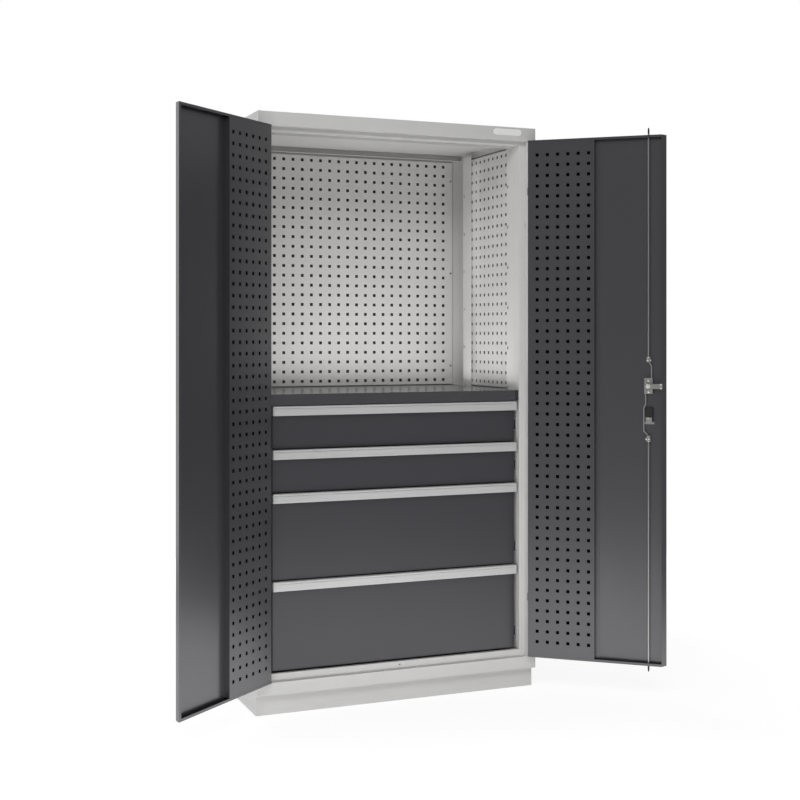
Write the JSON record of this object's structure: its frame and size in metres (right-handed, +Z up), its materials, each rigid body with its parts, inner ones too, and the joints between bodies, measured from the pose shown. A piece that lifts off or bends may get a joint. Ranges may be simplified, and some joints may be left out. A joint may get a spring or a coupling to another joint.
{
  "type": "tool cabinet",
  "caption": "Tall two-door sheet-steel tool cabinet on a plinth, with perforated inner panels, a worktop and full-width drawers on telescopic slides, locked by bolt rods.",
  "frame": {"origin": "on the floor under the middle of the cabinet body", "axes": "+Z up, front towards -Y, +X to the right of someone facing the front"},
  "size_m": [1.6627, 0.9301, 1.944],
  "materials": {
    "light_grey_paint": "satin powder coat",
    "anthracite_paint": "satin powder coat",
    "handle_aluminium": "satin anodised",
    "zinc_steel": "bright zinc",
    "black_plastic": "fine texture"
  },
  "bodies": {
    "cabinet": {"plinth": "light_grey_paint", "bottom_pan": "light_grey_paint", "top_cap": "light_grey_paint", "ceiling_panel": "light_grey_paint", "right_side_wall": "light_grey_paint", "left_side_wall": "light_grey_paint", "back_wall": "light_grey_paint", "right_front_post": "light_grey_paint", "left_front_post": "light_grey_paint", "right_rear_post": "light_grey_paint", "left_rear_post": "light_grey_paint", "top_front_rail": "light_grey_paint", "bottom_front_rail": "light_grey_paint", "back_perforated_panel": "light_grey_paint", "right_perforated_panel": "light_grey_paint", "left_perforated_panel": "light_grey_paint", "hinge_frame_leaves": "light_grey_paint", "worktop": "anthracite_paint", "panel_screws": "zinc_steel", "fixed_slide_rails": "zinc_steel"},
    "left_door": {"left_door_skin": "anthracite_paint", "left_door_panel": "anthracite_paint", "left_door_hinge_leaves": "anthracite_paint"},
    "right_door": {"right_door_skin": "anthracite_paint", "right_door_panel": "anthracite_paint", "right_door_hinge_leaves": "anthracite_paint", "handle_plate": "black_plastic", "latch_housing": "zinc_steel", "lock_screws": "zinc_steel", "cylinder_housing": "black_plastic", "cylinder_clamp": "zinc_steel", "rod_guides": "black_plastic"},
    "latch_cam": {"lock_spindle": "zinc_steel", "latch_tongue": "zinc_steel"},
    "swing_lever": {"swing_lever": "black_plastic"},
    "key_plug": {"key_plug": "zinc_steel"},
    "upper_bolt": {"upper_rod": "zinc_steel", "upper_link": "zinc_steel"},
    "lower_bolt": {"lower_rod": "zinc_steel", "lower_link": "zinc_steel"},
    "drawer_1": {"drawer_1_front": "anthracite_paint", "drawer_1_box": "light_grey_paint", "drawer_1_handle": "handle_aluminium", "drawer_1_inner_rails": "zinc_steel"},
    "drawer_1_mid": {"drawer_1_mid_rails": "zinc_steel"},
    "drawer_2": {"drawer_2_front": "anthracite_paint", "drawer_2_box": "light_grey_paint", "drawer_2_handle": "handle_aluminium", "drawer_2_inner_rails": "zinc_steel"},
    "drawer_2_mid": {"drawer_2_mid_rails": "zinc_steel"},
    "drawer_3": {"drawer_3_front": "anthracite_paint", "drawer_3_box": "light_grey_paint", "drawer_3_handle": "handle_aluminium", "drawer_3_inner_rails": "zinc_steel"},
    "drawer_3_mid": {"drawer_3_mid_rails": "zinc_steel"},
    "drawer_4": {"drawer_4_front": "anthracite_paint", "drawer_4_box": "light_grey_paint", "drawer_4_handle": "handle_aluminium", "drawer_4_inner_rails": "zinc_steel"},
    "drawer_4_mid": {"drawer_4_mid_rails": "zinc_steel"}
  },
  "joints": [
    {"name": "left_door_hinge", "type": "hinge", "parent": "cabinet", "child": "left_door", "pos_m": [-0.4726, -0.302, 1], "axis": [0, 0, -1], "range_deg": [-140, 30]},
    {"name": "right_door_hinge", "type": "hinge", "parent": "cabinet", "child": "right_door", "pos_m": [0.4726, -0.302, 1], "axis": [0, 0, 1], "range_deg": [-139.4, 30]},
    {"name": "lock_turn", "type": "hinge", "parent": "right_door", "child": "latch_cam", "pos_m": [0.78647, -0.57366, 1.0531], "axis": [0.6508, 0.7593, 0], "range_deg": [0, 90]},
    {"name": "lever_lift", "type": "hinge", "parent": "latch_cam", "child": "swing_lever", "pos_m": [0.79493, -0.56378, 1.0701], "axis": [0.7593, -0.6508, 0], "range_deg": [0, 35]},
    {"name": "key_turn", "type": "hinge", "parent": "right_door", "child": "key_plug", "pos_m": [0.78738, -0.57444, 0.957], "axis": [0.6508, 0.7593, 0], "range_deg": [0, 90]},
    {"name": "upper_bolt_slide", "type": "slide", "parent": "right_door", "child": "upper_bolt", "axis": [0, 0, 1], "range_m": [-0.0255, 0]},
    {"name": "lower_bolt_slide", "type": "slide", "parent": "right_door", "child": "lower_bolt", "axis": [0, 0, 1], "range_m": [0, 0.0255]},
    {"name": "drawer_1_slide", "type": "slide", "parent": "cabinet", "child": "drawer_1", "axis": [0, -1, 0], "range_m": [0, 0.41]},
    {"name": "drawer_1_mid_slide", "type": "slide", "parent": "cabinet", "child": "drawer_1_mid", "axis": [0, -1, 0], "range_m": [0, 0.205]},
    {"name": "drawer_2_slide", "type": "slide", "parent": "cabinet", "child": "drawer_2", "axis": [0, -1, 0], "range_m": [0, 0.41]},
    {"name": "drawer_2_mid_slide", "type": "slide", "parent": "cabinet", "child": "drawer_2_mid", "axis": [0, -1, 0], "range_m": [0, 0.205]},
    {"name": "drawer_3_slide", "type": "slide", "parent": "cabinet", "child": "drawer_3", "axis": [0, -1, 0], "range_m": [0, 0.41]},
    {"name": "drawer_3_mid_slide", "type": "slide", "parent": "cabinet", "child": "drawer_3_mid", "axis": [0, -1, 0], "range_m": [0, 0.205]},
    {"name": "drawer_4_slide", "type": "slide", "parent": "cabinet", "child": "drawer_4", "axis": [0, -1, 0], "range_m": [0, 0.41]},
    {"name": "drawer_4_mid_slide", "type": "slide", "parent": "cabinet", "child": "drawer_4_mid", "axis": [0, -1, 0], "range_m": [0, 0.205]}
  ],
  "couplings": [
    {"joint": "upper_bolt_slide", "follows": "lock_turn", "m_per_rad": -0.016234},
    {"joint": "lower_bolt_slide", "follows": "lock_turn", "m_per_rad": 0.016234},
    {"joint": "drawer_1_mid_slide", "follows": "drawer_1_slide", "ratio": 0.5},
    {"joint": "drawer_2_mid_slide", "follows": "drawer_2_slide", "ratio": 0.5},
    {"joint": "drawer_3_mid_slide", "follows": "drawer_3_slide", "ratio": 0.5},
    {"joint": "drawer_4_mid_slide", "follows": "drawer_4_slide", "ratio": 0.5}
  ]
}
